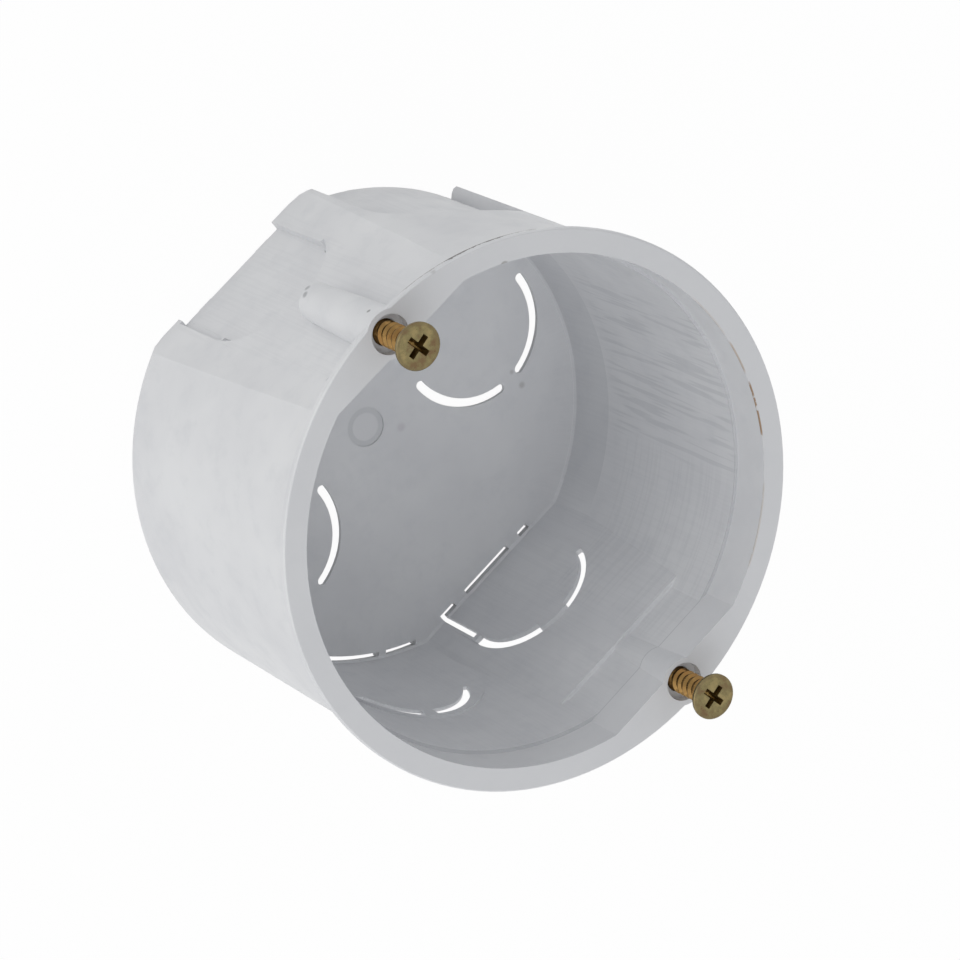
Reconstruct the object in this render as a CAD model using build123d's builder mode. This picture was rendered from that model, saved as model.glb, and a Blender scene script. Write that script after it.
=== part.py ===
from build123d import *
import math
import os

# Round flush mounting box with two screws, in millimetres.
# It stands on its back: the floor lies on Z = 0 and the mouth looks up.
# The two screw bosses lie on the X axis, 60 apart.

# driving dimensions of the box
box_depth = 42.0
body_radius = 31.0
rim_overhang = 1.5
rim_thickness = 1.0
wall = 1.7
floor_thickness = 1.5
mouth_step = 0.4
mouth_band = 5.5
back_band = 8.7
back_draft = 0.35
boss_inset = 1.0

screw_spacing = 2 * (body_radius - boss_inset)
rim_radius = body_radius + rim_overhang
inner_radius = body_radius - wall
mouth_radius = inner_radius + mouth_step
floor_radius = inner_radius - back_draft
back_round = 1.0
back_ease = 0.35
inner_corner = 0.3
rim_edge = 0.2

# flats on both screw sides, outside and inside, with a little draft
outer_flat_back = body_radius - 3.0
outer_flat_front = body_radius - 2.1
inner_flat_back = outer_flat_back - 1.6
inner_flat_front = outer_flat_front - 1.5
pad_flat = inner_flat_front + 0.5
pad_height = 11.7

# screw bosses
boss_mouth_radius = 2.9
boss_back_radius = 2.25
boss_length = 17.0
screw_clearance = 0.05
shank_radius = 1.5
bore_radius = shank_radius + screw_clearance
bore_depth = boss_length - 1.2
counterbore_radius = 2.3
counterbore_depth = 1.2

# arch-shaped knockouts in the wall: a thin upright panel behind a recess that is open at the back
arch_low_centre = 10.0
arch_low_radius = 8.6
arch_high_centre = 14.0
arch_high_radius = 9.8
panel_inset = 0.05
panel_overlap = 0.05
panel_foot = 0.3
foot_slot_top = 0.38
foot_slot_width = 0.95
recess_foot_height = 0.9
recess_foot_half = 7.7
closed_near = 8.4
closed_far = 7.7
shift_near = -0.3
shift_far = 0.1
side_slot_width = 0.75
side_slot_low = -7.83
side_slot_high = -8.4
side_slot_drop = 1.4
diagonal_angle = -45.0
# start angle, end angle, inner radius, outer radius, and height of the outer arc's centre over the arch's
low_arcs = ((18.5, 84, 7.8, 8.6, 0.0), (112, 184, 7.5, 8.6, 0.0))
high_arcs = ((22, 90, 7.3, 7.35, 1.6), (102, 155, 7.7, 9.6, 0.0))
# from and to along the foot, measured across the arch
low_feet = ((5.95, 7.6), (-3.8, 3.9), (-7.85, -5.75))
high_feet = ((4.7, 8.85), (-4.0, 3.75), (-8.4, -5.75))

# round knockouts in the floor
round_offset = 17.8
round_shift_x = 0.7
round_shift_y = -0.35
round_radius = 9.03
round_slot = 1.15
round_skin = 0.5
round_margin = 0.6
round_arcs = ((11, 89), (116, 244), (-88, -11))
floor_mark_radius = 2.4
floor_mark_depth = 0.15
floor_mark_offset = -0.6

# screws
screw_length = 15.0
screw_stand = 6.2
head_radius = 2.7
head_land = 0.35
cross_length = 2.9
cross_width = 0.72
cross_depth = 1.35
cross_turn = 11.5
tip_length = 0.9

reach = rim_radius + 5.0
round_places = [(round_shift_x, round_shift_y + side * round_offset) for side in (-1, 1)]

# cup outside, turned as one profile
with BuildPart() as shell:
    with BuildSketch(Plane.XZ):
        with BuildLine():
            Polyline(
                (0, 0),
                (body_radius - back_round, 0),
                (body_radius - back_ease, back_ease),
                (body_radius, back_round),
                (body_radius, box_depth - rim_thickness),
                (rim_radius - rim_edge, box_depth - rim_thickness),
                (rim_radius, box_depth - rim_thickness + rim_edge),
                (rim_radius, box_depth - rim_edge),
                (rim_radius - rim_edge, box_depth),
                (0, box_depth),
                (0, 0),
            )
        make_face()
    revolve(axis=Axis.Z)

# wedge that leaves the drafted flat on the outside, below the lip
with BuildPart() as outer_wedge:
    with BuildSketch(Plane.XZ):
        with BuildLine():
            Polyline(
                (outer_flat_back, 0),
                (outer_flat_front, box_depth - rim_thickness),
                (reach, box_depth - rim_thickness),
                (reach, 0),
                (outer_flat_back, 0),
            )
        make_face()
    extrude(amount=reach, both=True)

# hollow of the cup with the mouth band and the drafted back band
with BuildPart() as hollow:
    with BuildSketch(Plane.XZ):
        with BuildLine():
            Polyline(
                (0, floor_thickness),
                (floor_radius, floor_thickness),
                (inner_radius, back_band),
                (inner_radius, box_depth - mouth_band),
                (mouth_radius, box_depth - mouth_band),
                (mouth_radius, box_depth + 1),
                (0, box_depth + 1),
                (0, floor_thickness),
            )
        make_face()
    revolve(axis=Axis.Z)

# wedge that keeps the inner flat and the pad under the mouth
with BuildPart() as inner_wedge:
    with BuildSketch(Plane.XZ):
        with BuildLine():
            Polyline(
                (inner_flat_back, 0),
                (inner_flat_back, floor_thickness),
                (inner_flat_front, box_depth - pad_height),
                (pad_flat, box_depth - pad_height),
                (pad_flat, box_depth + 2),
                (reach, box_depth + 2),
                (reach, 0),
                (inner_flat_back, 0),
            )
        make_face()
    extrude(amount=reach, both=True)

with BuildPart() as cup_room:
    add(hollow.part)
    add(inner_wedge.part, mode=Mode.SUBTRACT)
    add(inner_wedge.part.rotate(Axis.Z, 180), mode=Mode.SUBTRACT)
    floor_edges = cup_room.edges().filter_by_position(
        Axis.Z, floor_thickness - 0.01, floor_thickness + 0.01
    )
    chamfer(floor_edges, inner_corner)


def arch_prism(radius, centre_height, bottom, inner, outer):
    """Arch outline with straight sides and a round top, run along X between two distances."""
    with BuildPart() as prism:
        with BuildSketch(Plane.YZ.offset(inner)):
            with BuildLine():
                Line((-radius, bottom), (radius, bottom))
                Line((radius, bottom), (radius, centre_height))
                CenterArc((0, centre_height), radius, 0, 180)
                Line((-radius, centre_height), (-radius, bottom))
            make_face()
        extrude(amount=outer - inner)
    return prism.part


def span_box(y_from, y_to, z_from, z_to, inner, outer):
    """Plain block between two distances along X."""
    with BuildPart() as block:
        with BuildSketch(Plane.YZ.offset(inner)):
            with Locations(((y_from + y_to) / 2, (z_from + z_to) / 2)):
                Rectangle(y_to - y_from, z_to - z_from)
        extrude(amount=outer - inner)
    return block.part


def recess_form(radius, centre_height, bottom, inner, outer, closed_edge, foot_half):
    """Arch of one recess, closed straight on its plus Y side and as wide as asked at its foot."""
    closed = span_box(closed_edge, radius + 1, bottom - 1, centre_height + radius, inner - 1, outer + 1)
    arch = arch_prism(radius, centre_height, max(bottom, recess_foot_height), inner, outer)
    with BuildPart() as form:
        add(arch)
        if closed_edge < radius:
            add(closed, mode=Mode.SUBTRACT)
        if bottom < recess_foot_height:
            add(span_box(-foot_half, min(closed_edge, radius), bottom, recess_foot_height, inner, outer))
    return form.part


def arc_gap(centre_height, near, start, end, inner_radius, outer_radius, rise):
    """One arc slot, run outwards from a distance along X: wider at its top where rise is given."""
    far = 3 * outer_radius
    middle = (start + end) / 2
    corners = [(far * math.cos(math.radians(a)), centre_height + far * math.sin(math.radians(a)))
               for a in (start, middle, end)]
    with BuildPart() as gap:
        with BuildSketch(Plane.YZ.offset(near)):
            with Locations((0, centre_height + rise)):
                Circle(outer_radius)
            with Locations((0, centre_height)):
                Circle(inner_radius, mode=Mode.SUBTRACT)
            Polygon((0, centre_height), *corners, align=None, mode=Mode.INTERSECT)
        extrude(amount=reach - near)
    return gap.part


def wall_slots(centre_height, arcs, near, side_slot):
    """Through slots of one arch: arcs, and one straight slot on its open minus Y side."""
    top = centre_height - side_slot_drop
    with BuildPart() as slots:
        add(span_box(side_slot - side_slot_width / 2, side_slot + side_slot_width / 2, -1, top, near, reach))
        for arc in arcs:
            add(arc_gap(centre_height, near, *arc))
    return slots.part


def foot_slots(feet, inner, panel):
    """Slots between the floor and a panel, below the inside corner."""
    blocks = []
    for low, high in feet:
        blocks.append(span_box(low, high, -1, floor_thickness + 0.05, inner, panel))
        blocks.append(span_box(low, high, -1, foot_slot_top, inner, reach))
    with BuildPart() as feet_cut:
        for block in blocks:
            add(block)
    return feet_cut.part


def ring(inner, outer, bottom, top):
    """Upright ring about the Z axis."""
    with BuildPart() as made:
        with BuildSketch(Plane.XY.offset(bottom)):
            Circle(outer)
            Circle(inner, mode=Mode.SUBTRACT)
        extrude(amount=top - bottom)
    return made.part


# knockouts in the flats: recess, panel and slots, the far one a little narrower
flat_panel = inner_flat_back + panel_inset
arch_share = (arch_low_centre + arch_low_radius - floor_thickness) / (box_depth - pad_height - floor_thickness)
flat_panel_back = inner_flat_back + (inner_flat_front - inner_flat_back) * arch_share + panel_overlap
near_room = recess_form(arch_low_radius, arch_low_centre, -1, flat_panel, reach, closed_near, recess_foot_half)
near_skin = recess_form(
    arch_low_radius, arch_low_centre, panel_foot, flat_panel, flat_panel_back, closed_near, recess_foot_half
)
far_room = recess_form(arch_low_radius, arch_low_centre, -1, flat_panel, reach, closed_far, recess_foot_half)
far_skin = recess_form(
    arch_low_radius, arch_low_centre, panel_foot, flat_panel, flat_panel_back, closed_far, recess_foot_half
)
flat_slots = wall_slots(arch_low_centre, low_arcs, inner_flat_back - foot_slot_width, side_slot_low)
flat_feet = foot_slots(low_feet, inner_flat_back - foot_slot_width, flat_panel)

# knockout in the round wall: the same, wider and with a curved panel
curved_from = floor_radius / 2
foot_ring_inner = floor_radius + 0.15 - foot_slot_width
wall_room = recess_form(
    arch_high_radius, arch_high_centre, -1, curved_from, reach, arch_high_radius, arch_high_radius
)
skin_form = recess_form(
    arch_high_radius, arch_high_centre, panel_foot, curved_from, reach, arch_high_radius, arch_high_radius
)
curved_slots = wall_slots(arch_high_centre, high_arcs, floor_radius - 3.0, side_slot_high)
panel_ring = ring(floor_radius, inner_radius + panel_overlap, -2, box_depth)
foot_ring = ring(foot_ring_inner, floor_radius, -2, floor_thickness + 0.05)
outer_ring = ring(floor_radius, reach * 1.2, -2, box_depth)
low_ring = ring(foot_ring_inner, reach * 1.2, -2, foot_slot_top)
feet_blocks = foot_slots(high_feet, curved_from, reach)

with BuildPart() as curved_room:
    add(wall_room)
    add(outer_ring, mode=Mode.INTERSECT)

with BuildPart() as curved_skin:
    add(skin_form)
    add(panel_ring, mode=Mode.INTERSECT)

with BuildPart() as curved_feet_high:
    add(feet_blocks)
    add(foot_ring, mode=Mode.INTERSECT)

with BuildPart() as curved_feet_low:
    add(feet_blocks)
    add(low_ring, mode=Mode.INTERSECT)

# the arc and side slots stay outside the inner wall's face, so that the floor isn't cut
slot_ring = ring(floor_radius - 0.6, reach * 1.2, -2, box_depth)
with BuildPart() as curved_gaps:
    add(curved_slots)
    add(slot_ring, mode=Mode.INTERSECT)

with BuildPart() as box_body:
    add(shell.part)
    add(outer_wedge.part, mode=Mode.SUBTRACT)
    add(outer_wedge.part.rotate(Axis.Z, 180), mode=Mode.SUBTRACT)
    add(cup_room.part, mode=Mode.SUBTRACT)
    # bosses, wider at the mouth
    for side in (-1, 1):
        with BuildSketch(Plane.XY.offset(box_depth - boss_length)):
            with Locations((side * screw_spacing / 2, 0)):
                Circle(boss_back_radius)
        with BuildSketch(Plane.XY.offset(box_depth)):
            with Locations((side * screw_spacing / 2, 0)):
                Circle(boss_mouth_radius)
        loft()
    # screw bores with their wider mouths
    with BuildSketch(Plane.XY.offset(box_depth - bore_depth)):
        with Locations((screw_spacing / 2, 0), (-screw_spacing / 2, 0)):
            Circle(bore_radius)
    extrude(amount=bore_depth + 1, mode=Mode.SUBTRACT)
    with BuildSketch(Plane.XY.offset(box_depth - counterbore_depth)):
        with Locations((screw_spacing / 2, 0), (-screw_spacing / 2, 0)):
            Circle(counterbore_radius)
    extrude(amount=counterbore_depth + 1, mode=Mode.SUBTRACT)
    # low arch knockouts in both flats, the far one mirrored
    for room, skin, shift, mirrored in (
        (near_room, near_skin, shift_near, False),
        (far_room, far_skin, shift_far, True),
    ):
        for piece, how in (
            (room, Mode.SUBTRACT),
            (skin, Mode.ADD),
            (flat_slots, Mode.SUBTRACT),
            (flat_feet, Mode.SUBTRACT),
        ):
            placed = piece.moved(Location((0, shift, 0)))
            if mirrored:
                placed = placed.mirror(Plane.YZ)
            add(placed, mode=how)
    # high arch knockouts on one diagonal
    for turn in (diagonal_angle, diagonal_angle + 180):
        for piece, how in (
            (curved_room.part, Mode.SUBTRACT),
            (curved_skin.part, Mode.ADD),
            (curved_gaps.part, Mode.SUBTRACT),
            (curved_feet_high.part, Mode.SUBTRACT),
            (curved_feet_low.part, Mode.SUBTRACT),
        ):
            add(piece.rotate(Axis.Z, turn), mode=how)
    # round knockouts in the floor, thinned from the back
    with BuildSketch(Plane.XY):
        with Locations(*round_places):
            Circle(round_radius + round_slot / 2 + round_margin)
    extrude(amount=floor_thickness - round_skin, mode=Mode.SUBTRACT)
    with BuildSketch(Plane.XY.offset(-1)):
        with Locations(*round_places):
            for start, end in round_arcs:
                with BuildLine(mode=Mode.PRIVATE) as path:
                    CenterArc((0, 0), round_radius, start, end - start)
                SlotArc(path.edges()[0], round_slot)
    extrude(amount=floor_thickness + 2, mode=Mode.SUBTRACT)
    # shallow round mark near the middle of the floor
    with BuildSketch(Plane.XY.offset(floor_thickness - floor_mark_depth)):
        with Locations((floor_mark_offset, 0)):
            Circle(floor_mark_radius)
    extrude(amount=floor_mark_depth + 0.5, mode=Mode.SUBTRACT)
box_body.part.label = "box_body"


def screw_at(side):
    """Countersunk screw standing in its boss, head face above the lip."""
    face = box_depth + screw_stand
    cone = head_radius - shank_radius
    with BuildPart() as screw:
        with BuildSketch(Plane.XZ):
            with BuildLine():
                Polyline(
                    (0, face),
                    (head_radius - 0.1, face),
                    (head_radius, face - 0.1),
                    (head_radius, face - head_land),
                    (shank_radius, face - head_land - cone),
                    (shank_radius, face - screw_length + tip_length),
                    (shank_radius * 0.55, face - screw_length),
                    (0, face - screw_length),
                    (0, face),
                )
            make_face()
        revolve(axis=Axis.Z)
        with BuildSketch(Plane.XY.offset(face)):
            Rectangle(cross_length, cross_width, rotation=cross_turn)
            Rectangle(cross_width, cross_length, rotation=cross_turn)
            Circle(cross_width * 0.75)
        extrude(amount=-cross_depth, taper=12, mode=Mode.SUBTRACT)
    moved = screw.part.moved(Location((side * screw_spacing / 2, 0, 0)))
    return moved


with BuildPart() as screw_left:
    add(screw_at(-1))
screw_left.part.label = "screw_left"

with BuildPart() as screw_right:
    add(screw_at(1))
screw_right.part.label = "screw_right"

os.makedirs("parts", exist_ok=True)
export_step(box_body.part, "parts/box_body.step")
export_step(screw_left.part, "parts/screw_left.step")
export_step(screw_right.part, "parts/screw_right.step")
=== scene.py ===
import math

import bmesh
import bpy
from mathutils import Matrix, Vector


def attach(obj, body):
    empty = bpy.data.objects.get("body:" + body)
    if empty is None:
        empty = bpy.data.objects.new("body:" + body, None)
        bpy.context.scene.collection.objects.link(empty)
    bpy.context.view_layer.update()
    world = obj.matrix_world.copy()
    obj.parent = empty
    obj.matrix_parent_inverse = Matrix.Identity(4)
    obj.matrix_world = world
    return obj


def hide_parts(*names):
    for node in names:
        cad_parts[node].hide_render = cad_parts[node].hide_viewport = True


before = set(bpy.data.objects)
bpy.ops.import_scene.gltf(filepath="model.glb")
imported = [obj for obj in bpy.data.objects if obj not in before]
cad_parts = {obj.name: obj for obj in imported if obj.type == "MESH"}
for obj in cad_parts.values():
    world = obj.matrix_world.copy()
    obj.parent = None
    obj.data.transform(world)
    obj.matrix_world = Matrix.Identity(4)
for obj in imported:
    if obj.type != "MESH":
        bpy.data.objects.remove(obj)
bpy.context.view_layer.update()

# Round flush mounting box, standing on its back with its mouth up, in metres.
# The box comes from the frame. The screws keep their heads from the frame and get real threads here,
# and a thin web closes a slot that is open in the frame's box and closed in the real one.

scene = bpy.context.scene
MM = 0.001
SCREW_OFFSET = 30.0  # mm from the box's axis to each screw's
FROM_CENTRE = -1.0  # lower bound of a distance that starts at 0


# Helpers

def linear(code):
    """sRGB hex code, such as d2d3d3, as linear red, green and blue, and an alpha of 1."""
    parts = [int(code[i:i + 2], 16) / 255 for i in (0, 2, 4)]
    return [c / 12.92 if c <= 0.04045 else ((c + 0.055) / 1.055) ** 2.4 for c in parts] + [1.0]


def add(tree, kind, values=(), links=(), **settings):
    """Adds a node: settings are its properties, values and links go to its inputs by name or number."""
    made = tree.nodes.new("ShaderNode" + kind)
    for name, value in settings.items():
        setattr(made, name, value)
    for name, value in dict(values).items():
        made.inputs[name].default_value = value
    for name, source in dict(links).items():
        tree.links.new(source, made.inputs[name])
    return made


def new_material(name):
    """Material without nodes, and its node tree."""
    made = bpy.data.materials.new(name)
    made.use_nodes = True
    made.node_tree.nodes.clear()
    return made, made.node_tree


def place_in_mm(tree):
    """Object coordinates in mm, whole and as X, Y and Z."""
    origin = add(tree, "TexCoord").outputs["Object"]
    place = add(tree, "VectorMath", {"Scale": 1 / MM}, {0: origin}, operation="SCALE").outputs[0]
    return place, add(tree, "SeparateXYZ", links={0: place}).outputs


def between(tree, value, low, high, soft):
    """1 where the value lies between low and high, falling to 0 over the soft width on both sides."""
    rise = {1: low - soft, 2: low}
    fall = {1: high, 2: high + soft, 3: 1.0, 4: 0.0}
    up = add(tree, "MapRange", rise, {0: value}, interpolation_type="SMOOTHSTEP")
    down = add(tree, "MapRange", fall, {0: value}, interpolation_type="SMOOTHSTEP")
    both = add(tree, "Math", links={0: up.outputs[0], 1: down.outputs[0]}, operation="MULTIPLY")
    return both.outputs[0]


def together(tree, masks, share=1.0):
    """Product of several masks and a share."""
    made = masks[0]
    for mask in masks[1:]:
        made = add(tree, "Math", links={0: made, 1: mask}, operation="MULTIPLY").outputs[0]
    return add(tree, "Math", {1: share}, {0: made}, operation="MULTIPLY").outputs[0]


def spot(tree, place, centre, radius, soft):
    """1 inside a ball about a point in mm, falling to 0 over the soft width."""
    away = add(tree, "VectorMath", {1: centre}, {0: place}, operation="DISTANCE").outputs["Value"]
    return between(tree, away, FROM_CENTRE, radius, soft)


def tinted(tree, colour, mask, code):
    """The colour turned towards another where the mask is 1."""
    return add(tree, "Mix", {7: linear(code)}, {0: mask, 6: colour}, data_type="RGBA").outputs[2]


def seen_directly(tree):
    """1 for what the camera sees, also in a mirror or through glass, and 0 for what only lights the box."""
    path = add(tree, "LightPath").outputs
    seen = add(tree, "Math", links={0: path["Is Camera Ray"], 1: path["Is Glossy Ray"]}, operation="ADD")
    seen = add(
        tree, "Math", links={0: seen.outputs[0], 1: path["Is Transmission Ray"]},
        operation="ADD", use_clamp=True,
    )
    return seen.outputs[0]


def piece(name, shape, material):
    """Object at the origin, made from a finished bmesh in one material."""
    mesh = bpy.data.meshes.new(name)
    shape.to_mesh(mesh)
    shape.free()
    mesh.materials.append(material)
    made = bpy.data.objects.new(name, mesh)
    scene.collection.objects.link(made)
    return made


# Camera at the photograph's angle

SIDEWAYS = Vector((0.5538, 0.6652, 0.5008))
UPWARDS = Vector((-0.6494, 0.7215, -0.2403))
BACKWARDS = Vector((-0.5212, -0.1921, 0.8316))
EYE = Vector((-247.5, -90.8, 422.4)) * MM

camera_data = bpy.data.cameras.new("camera")
camera_data.sensor_width = 36
camera_data.lens = 155.5
camera_data.clip_start = 0.01
camera_data.clip_end = 20
camera = bpy.data.objects.new("camera", camera_data)
turn = Matrix((SIDEWAYS, UPWARDS, BACKWARDS)).transposed().to_4x4()
camera.matrix_world = Matrix.Translation(EYE) @ turn
scene.collection.objects.link(camera)
scene.camera = camera


# Polystyrene, injection moulded in white with a satin face: pale cool grey in soft light.
# Its marks are placed by height in mm above the back, radius in mm about the box's axis, and angle in
# degrees about it from plus X.

WALL_RADIUS = 29.3  # inner wall, mm
STREAK = "a9acb2"

plastic, tree = new_material("moulded_white_polystyrene")
place, axes = place_in_mm(tree)
flat = add(tree, "VectorMath", {1: (1, 1, 0)}, {0: place}, operation="MULTIPLY").outputs[0]
radius = add(tree, "VectorMath", links={0: flat}, operation="LENGTH").outputs["Value"]
turned = add(tree, "Math", links={0: axes[1], 1: axes[0]}, operation="ARCTAN2").outputs[0]
angle = add(tree, "Math", {1: math.degrees(1.0)}, {0: turned}, operation="MULTIPLY").outputs[0]
along = add(tree, "Math", {1: WALL_RADIUS}, {0: turned}, operation="MULTIPLY").outputs[0]
height = axes[2]

# cloudy shade of the moulding over 15 mm, and a finer one over 3 mm
cloud = add(tree, "TexNoise", {"Scale": 0.07, "Detail": 3.0, "Roughness": 0.55}, {"Vector": place})
shade = add(tree, "ValToRGB", links={"Fac": cloud.outputs["Fac"]})
shade.color_ramp.elements[0].position = 0.32
shade.color_ramp.elements[0].color = linear("dddee1")
shade.color_ramp.elements[1].position = 0.68
shade.color_ramp.elements[1].color = linear("e6e7e9")
fine = add(tree, "TexNoise", {"Scale": 0.35, "Detail": 4.0, "Roughness": 0.6}, {"Vector": place})
fine_mask = add(tree, "MapRange", {1: 0.5, 2: 0.75, 3: 0.0, 4: 0.35}, {0: fine.outputs["Fac"]}).outputs[0]
colour = tinted(tree, shade.outputs["Color"], fine_mask, "d4d6da")

# vertical streaks left by drawing the core out: broken strokes on the inner wall, about 1 mm apart
wall_place = add(tree, "CombineXYZ", links={0: along, 2: height}).outputs[0]
stretch = {1: (1.5, 1.0, 0.085)}  # cells per mm round the wall first, and up it last
stroke_place = add(tree, "VectorMath", stretch, {0: wall_place}, operation="MULTIPLY").outputs[0]
strokes = add(tree, "TexNoise", {"Scale": 1.0, "Detail": 1.0, "Roughness": 0.5}, {"Vector": stroke_place})
inside = between(tree, radius, 26.0, 29.6, 0.1)
drawn = together(tree, [
    between(tree, strokes.outputs["Fac"], 0.60, 1.0, 0.10),
    inside,
    between(tree, angle, 50, 86, 7),
    between(tree, height, 12, 35, 4),
], 0.24)
colour = tinted(tree, colour, drawn, STREAK)

# much finer and fainter streaks over the whole inner wall, drawn at 0.45 mm where the real ones are finer
stretch = {1: (2.2, 1.0, 0.06)}
hair_place = add(tree, "VectorMath", stretch, {0: wall_place}, operation="MULTIPLY").outputs[0]
hairs = add(tree, "TexNoise", {"Scale": 1.0, "Detail": 2.0, "Roughness": 0.6}, {"Vector": hair_place})
hair_mask = together(tree, [
    between(tree, hairs.outputs["Fac"], 0.55, 1.0, 0.06),
    inside,
    between(tree, height, 2, 36, 1),
], 0.045)
colour = tinted(tree, colour, hair_mask, STREAK)

# turned marks of the core, level lines 0.6 mm apart on the part of the wall beside the strokes
stretch = {1: (0.06, 1.0, 1.7)}
level_place = add(tree, "VectorMath", stretch, {0: wall_place}, operation="MULTIPLY").outputs[0]
levels = add(tree, "TexNoise", {"Scale": 1.0, "Detail": 1.0, "Roughness": 0.5}, {"Vector": level_place})
levelled = together(tree, [
    between(tree, levels.outputs["Fac"], 0.56, 1.0, 0.05),
    inside,
    between(tree, angle, 8, 44, 7),
    between(tree, height, 14, 35, 2),
], 0.08)
colour = tinted(tree, colour, levelled, STREAK)

# painted shade: a darker band round the foot of the inner wall, with a crisp upper edge
painted_foot_shade = together(tree, [
    between(tree, radius, 20.0, 29.31, 0.02),
    between(tree, height, 1.6, 8.66, 0.06),
    between(tree, angle, 35, 150, 12),
], 0.25)
colour = tinted(tree, colour, painted_foot_shade, "b7babf")

# painted shade on the face of the lip, making it a little darker
painted_lip_shade = together(tree, [between(tree, height, 41.96, 43.0, 0.03)], 0.6)
colour = tinted(tree, colour, painted_lip_shade, "cdced1")

# painted shade on the narrow ledge where the mouth widens, dimming its highlight
painted_ledge_shade = together(tree, [
    between(tree, radius, 26.0, 29.75, 0.05),
    between(tree, height, 36.42, 36.53, 0.04),
], 0.5)
colour = tinted(tree, colour, painted_ledge_shade, "b4b6ba")

# soft grey ring inside the round mark on the floor
ring_centre = {1: (-0.6, 0.0, 1.35)}
ring_away = add(tree, "VectorMath", ring_centre, {0: place}, operation="DISTANCE").outputs["Value"]
ringed = together(tree, [
    between(tree, ring_away, 1.85, 2.35, 0.25),
    between(tree, height, 1.2, 1.6, 0.1),
], 0.6)
colour = tinted(tree, colour, ringed, "cbcdd0")

# dirt caught on the inner edge of the lip, broken and uneven: angles, soft width, share and colour
dirt_noise = add(tree, "TexNoise", {"Scale": 0.55, "Detail": 4.0, "Roughness": 0.7}, {"Vector": place})
broken = between(tree, dirt_noise.outputs["Fac"], 0.44, 1.0, 0.07)
inner_edge = together(tree, [
    between(tree, radius, 29.6, 29.82, 0.05),
    between(tree, height, 41.86, 43.0, 0.06),
])
for low, high, soft, share, code in (
    (61, 72, 2, 0.9, "94724c"),
    (77, 83, 2, 0.55, "a88c68"),
    (31, 47, 3, 0.30, "b3a28a"),
    (88, 97, 3, 0.25, "b3a28a"),
):
    mask = together(tree, [inner_edge, broken, between(tree, angle, low, high, soft)], share)
    colour = tinted(tree, colour, mask, code)

# dark line under the outer edge of the lip, faint over its length and darker in the middle
lip_line_noise = add(tree, "TexNoise", {"Scale": 0.9, "Detail": 3.0, "Roughness": 0.7}, {"Vector": place})
lip_line_range = {1: 0.3, 2: 0.7, 3: 40.95, 4: 41.45}
lip_line_level = add(tree, "MapRange", lip_line_range, {0: lip_line_noise.outputs["Fac"]}).outputs[0]
lip_line_away = add(tree, "Math", links={0: height, 1: lip_line_level}, operation="SUBTRACT").outputs[0]
outer_edge = between(tree, radius, 32.3, 33.0, 0.05)
dark_lip_line = together(tree, [
    between(tree, lip_line_away, -0.14, 0.14, 0.08),
    outer_edge,
    between(tree, angle, 144, 170, 5),
], 0.5)
colour = tinted(tree, colour, dark_lip_line, "7c7a76")
dark_lip_line = together(tree, [
    between(tree, lip_line_away, -0.22, 0.22, 0.10),
    outer_edge,
    between(tree, angle, 150, 161, 3),
    between(tree, lip_line_noise.outputs["Fac"], 0.42, 1.0, 0.06),
], 0.8)
colour = tinted(tree, colour, dark_lip_line, "5c5a57")

# single specks and scuffs on the wall, lip, floor and outside, and painted shadow in three spots noted
# below:
# place in mm, radius, soft width, share and colour
for centre, size, soft, share, code in (
    ((28.2, 8.0, 31.05), 0.18, 0.15, 0.7, "6d655c"),
    ((-25.4, 14.75, 42.0), 0.45, 0.2, 0.65, "85817c"),
    # painted shadow of the left screw on the lip
    ((-31.55, 8.2, 42.0), 0.15, 0.35, 0.4, "9a9896"),
    ((11.46, 18.15, 1.5), 0.15, 0.45, 0.4, "8f8b86"),
    ((9.15, 18.22, 1.5), 0.10, 0.35, 0.35, "8f8b86"),
    ((3.0, 3.26, 1.5), 0.2, 0.6, 0.22, "a597a6"),
    ((25.25, 15.07, 1.5), 0.2, 0.5, 0.5, "77767a"),
    ((-32.8, 0.33, 39.9), 0.16, 0.15, 0.7, "7f7f7f"),
    # painted shadow at the end of the left boss, in two spots
    ((-32.25, -0.65, 25.8), 0.2, 0.35, 0.6, "8a8c90"),
    ((-32.2, 0.2, 25.2), 0.15, 0.4, 0.6, "8a8c90"),
    ((-27.67, 7.43, 10.0), 0.2, 0.25, 0.4, "8c8c8c"),
):
    mask = together(tree, [spot(tree, place, centre, size, soft)], share)
    colour = tinted(tree, colour, mask, code)

# satin face: a fine grain of 0.3 mm, really finer, a soft waviness, and the strokes as shallow grooves
GRAIN_RISE, WAVE_RISE, GROOVE_RISE = 0.006, 0.05, -0.02  # mm
grain = add(tree, "TexNoise", {"Scale": 3.2, "Detail": 2.0, "Roughness": 0.6}, {"Vector": place})
wave = add(tree, "TexNoise", {"Scale": 0.16, "Detail": 2.0, "Roughness": 0.5}, {"Vector": place})
grain_height = add(tree, "Math", {1: GRAIN_RISE}, {0: grain.outputs["Fac"]}, operation="MULTIPLY").outputs[0]
wave_height = add(tree, "Math", {1: WAVE_RISE}, {0: wave.outputs["Fac"]}, operation="MULTIPLY").outputs[0]
groove_height = add(tree, "Math", {1: GROOVE_RISE}, {0: drawn}, operation="MULTIPLY").outputs[0]
relief = add(tree, "Math", links={0: grain_height, 1: wave_height}, operation="ADD").outputs[0]
relief = add(tree, "Math", links={0: relief, 1: groove_height}, operation="ADD").outputs[0]
bump = add(tree, "Bump", {"Strength": 1.0, "Distance": MM}, {"Height": relief})
rough = add(tree, "MapRange", {1: 0.3, 2: 0.7, 3: 0.38, 4: 0.52}, {0: fine.outputs["Fac"]}).outputs[0]
shader = add(
    tree, "BsdfPrincipled",
    {"IOR": 1.5, "Subsurface Weight": 0.0},
    {"Base Color": colour, "Roughness": rough, "Normal": bump.outputs[0]},
)
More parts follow.
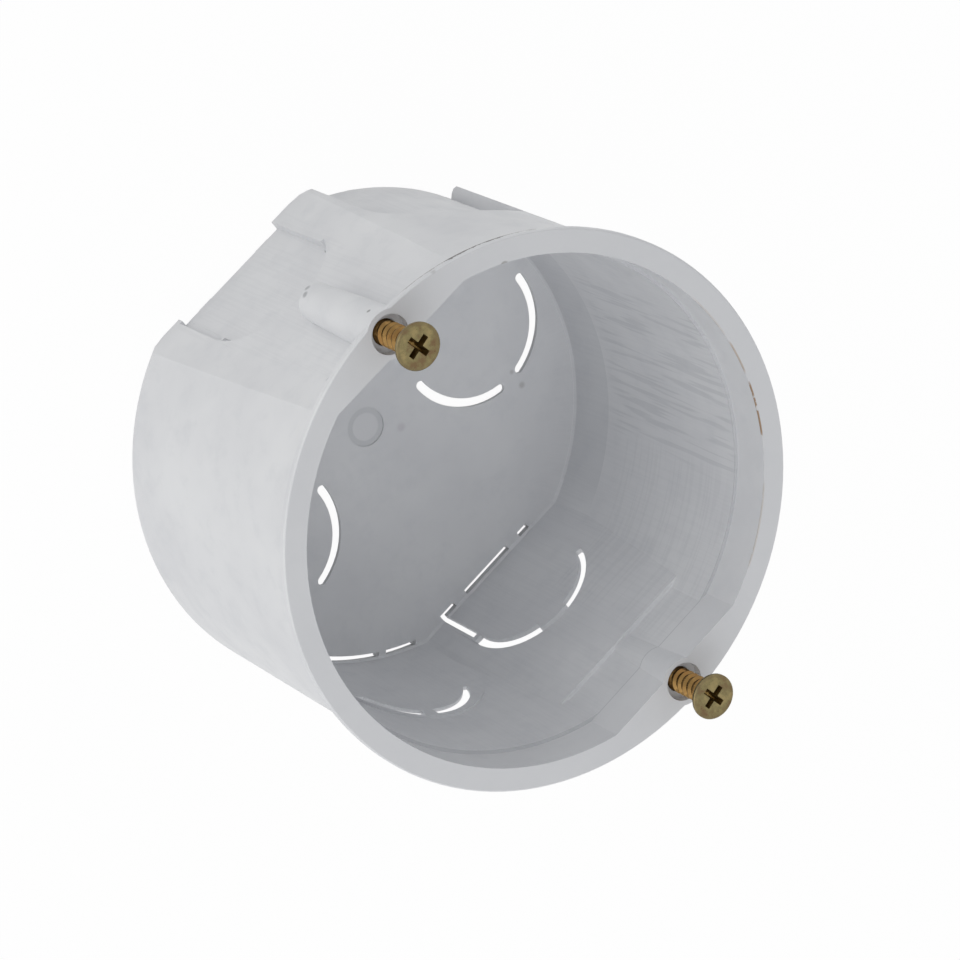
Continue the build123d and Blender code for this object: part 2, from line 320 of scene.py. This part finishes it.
add(tree, "OutputMaterial", links={"Surface": shader.outputs["BSDF"]})


# Steel screw with a yellow passivated zinc coat, dull and uneven on the head, glossier down the shank.
# Its marks are placed by height above the box's back and distance from the screw's own axis, in mm.

zinc, tree = new_material("yellow_passivated_zinc")
place, axes = place_in_mm(tree)
side = add(tree, "Math", links={0: axes[0]}, operation="ABSOLUTE").outputs[0]
side = add(tree, "Math", {1: SCREW_OFFSET}, {0: side}, operation="SUBTRACT").outputs[0]
from_axis = add(tree, "CombineXYZ", links={0: side, 1: axes[1]}).outputs[0]
from_axis = add(tree, "VectorMath", links={0: from_axis}, operation="LENGTH").outputs["Value"]
height = axes[2]

# blotches of the coat over 1.3 mm, from brown through olive to straw
blotch = add(tree, "TexNoise", {"Scale": 0.75, "Detail": 4.0, "Roughness": 0.65}, {"Vector": place})
shade = add(tree, "ValToRGB", links={"Fac": blotch.outputs["Fac"]})
shade.color_ramp.elements[0].position = 0.36
shade.color_ramp.elements[0].color = linear("705c42")
shade.color_ramp.elements[1].position = 0.66
shade.color_ramp.elements[1].color = linear("90815a")
olive = shade.color_ramp.elements.new(0.5)
olive.color = linear("7b714f")
colour = shade.outputs["Color"]

# duller rim of the head, darker recess, and a browner shank
rim = together(tree, [
    between(tree, from_axis, 2.4, 3.0, 0.15),
    between(tree, height, 46.0, 49.0, 0.1),
], 0.4)
colour = tinted(tree, colour, rim, "6e6048")
recess = together(tree, [
    between(tree, from_axis, FROM_CENTRE, 1.5, 0.05),
    between(tree, height, 46.75, 48.05, 0.1),
], 0.6)
colour = tinted(tree, colour, recess, "8a6c34")
shank = together(tree, [
    between(tree, from_axis, FROM_CENTRE, 1.52, 0.1),
    between(tree, height, 30.0, 46.2, 0.5),
], 0.7)
colour = tinted(tree, colour, shank, "85602f")

# wear of the coat in its gloss and as shallow pits, drawn at 0.25 mm where the real wear is finer
SHANK_GLOSS = 0.2  # taken off the roughness
PIT_RISE = 0.02  # mm
worn = add(tree, "TexNoise", {"Scale": 4.0, "Detail": 3.0, "Roughness": 0.6}, {"Vector": place})
dull = add(tree, "MapRange", {1: 0.3, 2: 0.7, 3: 0.26, 4: 0.40}, {0: worn.outputs["Fac"]}).outputs[0]
glossier = add(tree, "Math", {1: SHANK_GLOSS}, {0: shank}, operation="MULTIPLY").outputs[0]
dull = add(tree, "Math", links={0: dull, 1: glossier}, operation="SUBTRACT").outputs[0]
pits = add(tree, "Math", {1: PIT_RISE}, {0: worn.outputs["Fac"]}, operation="MULTIPLY").outputs[0]
bump = add(tree, "Bump", {"Strength": 1.0, "Distance": MM}, {"Height": pits})
shader = add(
    tree, "BsdfPrincipled",
    {"Metallic": 0.9},
    {"Base Color": colour, "Roughness": dull, "Normal": bump.outputs[0]},
)
add(tree, "OutputMaterial", links={"Surface": shader.outputs["BSDF"]})

for name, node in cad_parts.items():
    node.data.materials.clear()
    node.data.materials.append(plastic if name == "box_body" else zinc)


# Screws: the head from the frame, and below it a right-hand thread. Heights and radii are in mm.

PITCH = 1.05
CREST = 1.48
CORE = 1.16
# one turn of the thread's outline, radius and height: root, rising flank, crest, falling flank, root
OUTLINE = ((CORE, 0.0), (CORE, 0.26), (CREST, 0.46), (CREST, 0.56), (CORE, 0.82), (CORE, PITCH))
STEPS = 36  # per turn
NECK = 46.68  # the head is cut here, and the thread ends a little higher, inside it
THREAD_TOP = 46.78
THREAD_FOOT = 33.22
TAPER_FROM = 34.3  # from here to the foot the thread narrows
TAPER = 0.45  # share of the radius lost at the foot
CREASE = math.radians(32)
MERGE = 2e-6  # metres, as the two below
CUT_SLACK = 1e-7
LEVEL_SLACK = 1e-6


def cut_and_close(mesh, level, keep_above):
    """Cuts the mesh level at a height in mm, drops one side and closes the cut with one flat face."""
    parts = mesh.verts[:] + mesh.edges[:] + mesh.faces[:]
    bmesh.ops.bisect_plane(
        mesh, geom=parts, dist=CUT_SLACK, plane_co=(0, 0, level * MM), plane_no=(0, 0, 1),
        clear_inner=keep_above, clear_outer=not keep_above,
    )
    open_edges = [edge for edge in mesh.edges if edge.is_boundary and
                  all(abs(vert.co.z - level * MM) < LEVEL_SLACK for vert in edge.verts)]
    bmesh.ops.holes_fill(mesh, edges=open_edges, sides=0)


def threaded_screw(name, node, body, x):
    """Visual screw in place of one frame node, with its axis x mm from the box's."""
    head = bmesh.new()
    head.from_mesh(node.data)
    head.transform(node.matrix_world)
    bmesh.ops.remove_doubles(head, verts=head.verts[:], dist=MERGE)
    cut_and_close(head, NECK, True)

    # spun from two turns below the foot, so that the cut there goes through whole thread
    thread = bmesh.new()
    start = THREAD_FOOT - 2 * PITCH
    turns = math.ceil((THREAD_TOP - start) / PITCH) + 1
    verts = [thread.verts.new(((x + r) * MM, 0, (start + z) * MM)) for r, z in OUTLINE]
    edges = [thread.edges.new(pair) for pair in zip(verts, verts[1:])]
    bmesh.ops.spin(
        thread, geom=verts + edges, cent=(x * MM, 0, 0), axis=(0, 0, 1), dvec=(0, 0, PITCH * MM / STEPS),
        angle=math.tau * turns, steps=STEPS * turns, use_merge=False, use_duplicate=False,
    )
    bmesh.ops.remove_doubles(thread, verts=thread.verts[:], dist=MERGE)
    cut_and_close(thread, THREAD_FOOT, True)
    cut_and_close(thread, THREAD_TOP, False)
    for vert in thread.verts:
        below = (TAPER_FROM - vert.co.z / MM) / (TAPER_FROM - THREAD_FOOT)
        if below > 0:
            share = 1 - TAPER * min(below, 1)
            vert.co.x = x * MM + (vert.co.x - x * MM) * share
            vert.co.y = vert.co.y * share

    lower = bpy.data.meshes.new(name + "_thread")
    thread.to_mesh(lower)
    thread.free()
    head.from_mesh(lower)
    bpy.data.meshes.remove(lower)
    bmesh.ops.recalc_face_normals(head, faces=head.faces[:])
    for face in head.faces:
        face.smooth = True
    for edge in head.edges:
        edge.smooth = len(edge.link_faces) == 2 and edge.calc_face_angle(0) < CREASE
    made = piece(name, head, zinc)
    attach(made, body)
    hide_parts(node.name)


threaded_screw("threaded_screw_left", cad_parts["screw_left"], "left_screw", -SCREW_OFFSET)
threaded_screw("threaded_screw_right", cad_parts["screw_right"], "right_screw", SCREW_OFFSET)


# Thin web that closes the straight slot of the knockout in the minus X flat, flush with its panel

WEB_SIZE = Vector((0.56, 0.95, 8.35)) * MM
WEB_CENTRE = Vector((-26.745, -7.73, 4.575)) * MM

web = bmesh.new()
bmesh.ops.create_cube(web, size=1.0)
bmesh.ops.scale(web, vec=WEB_SIZE, verts=web.verts[:])
bmesh.ops.translate(web, vec=WEB_CENTRE, verts=web.verts[:])
bmesh.ops.recalc_face_normals(web, faces=web.faces[:])
slot_web = piece("slot_web", web, plastic)
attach(slot_web, "box")


# Matt paper floor: white to the camera, with a little of the shadow kept, and white under the slots

FLOOR_REACH = 2.0  # metres to each side
WHITENESS = 0.97

paper, tree = new_material("matt_white_paper")
share = add(tree, "Math", {1: WHITENESS}, {0: seen_directly(tree)}, operation="MULTIPLY")
matt = add(tree, "BsdfDiffuse", {"Color": linear("f4f4f4")})
glow = add(tree, "Emission", {"Color": (1, 1, 1, 1), "Strength": 1.0})
mixed = add(tree, "MixShader", links={0: share.outputs[0], 1: matt.outputs[0], 2: glow.outputs[0]})
add(tree, "OutputMaterial", links={"Surface": mixed.outputs[0]})

sheet = bmesh.new()
bmesh.ops.create_grid(sheet, x_segments=1, y_segments=1, size=FLOOR_REACH)
floor = piece("floor", sheet, paper)


# Studio light: a soft cool world that shows as white, and four soft lamps

world = bpy.data.worlds.new("studio")
scene.world = world
world.use_nodes = True
tree = world.node_tree
tree.nodes.clear()
soft = add(tree, "Background", {"Color": (0.98, 0.99, 1.0, 1), "Strength": 0.48})
white = add(tree, "Background", {"Color": (1, 1, 1, 1), "Strength": 1.0})
mixed = add(tree, "MixShader", links={0: seen_directly(tree), 1: soft.outputs[0], 2: white.outputs[0]})
add(tree, "OutputWorld", links={"Surface": mixed.outputs[0]})

TARGET = Vector((0, 0, 21)) * MM  # middle of the box
LAMP_AWAY = 0.9  # metres
LAMP_SIZE = 0.8
WHITE = (1.0, 1.0, 1.0)
WARM = (1.0, 0.985, 0.955)


def lamp(name, azimuth, elevation, power, colour):
    """Square soft lamp aimed at the box, seen from the box at the angles given in degrees."""
    a, e = math.radians(azimuth), math.radians(elevation)
    way = Vector((math.cos(e) * math.cos(a), math.cos(e) * math.sin(a), math.sin(e)))
    data = bpy.data.lights.new(name, "AREA")
    data.shape = "SQUARE"
    data.size = LAMP_SIZE
    data.energy = power
    data.color = colour
    made = bpy.data.objects.new(name, data)
    made.location = TARGET + way * LAMP_AWAY
    made.rotation_euler = way.to_track_quat("Z", "Y").to_euler()
    scene.collection.objects.link(made)


lamp("key", 310, 55, 1.3, WHITE)
lamp("front", 266, 47, 1.15, WHITE)
lamp("side", 212, 15, 2.2, WARM)
lamp("back", 100, 38, 0.5, WHITE)

scene.view_settings.view_transform = "Standard"
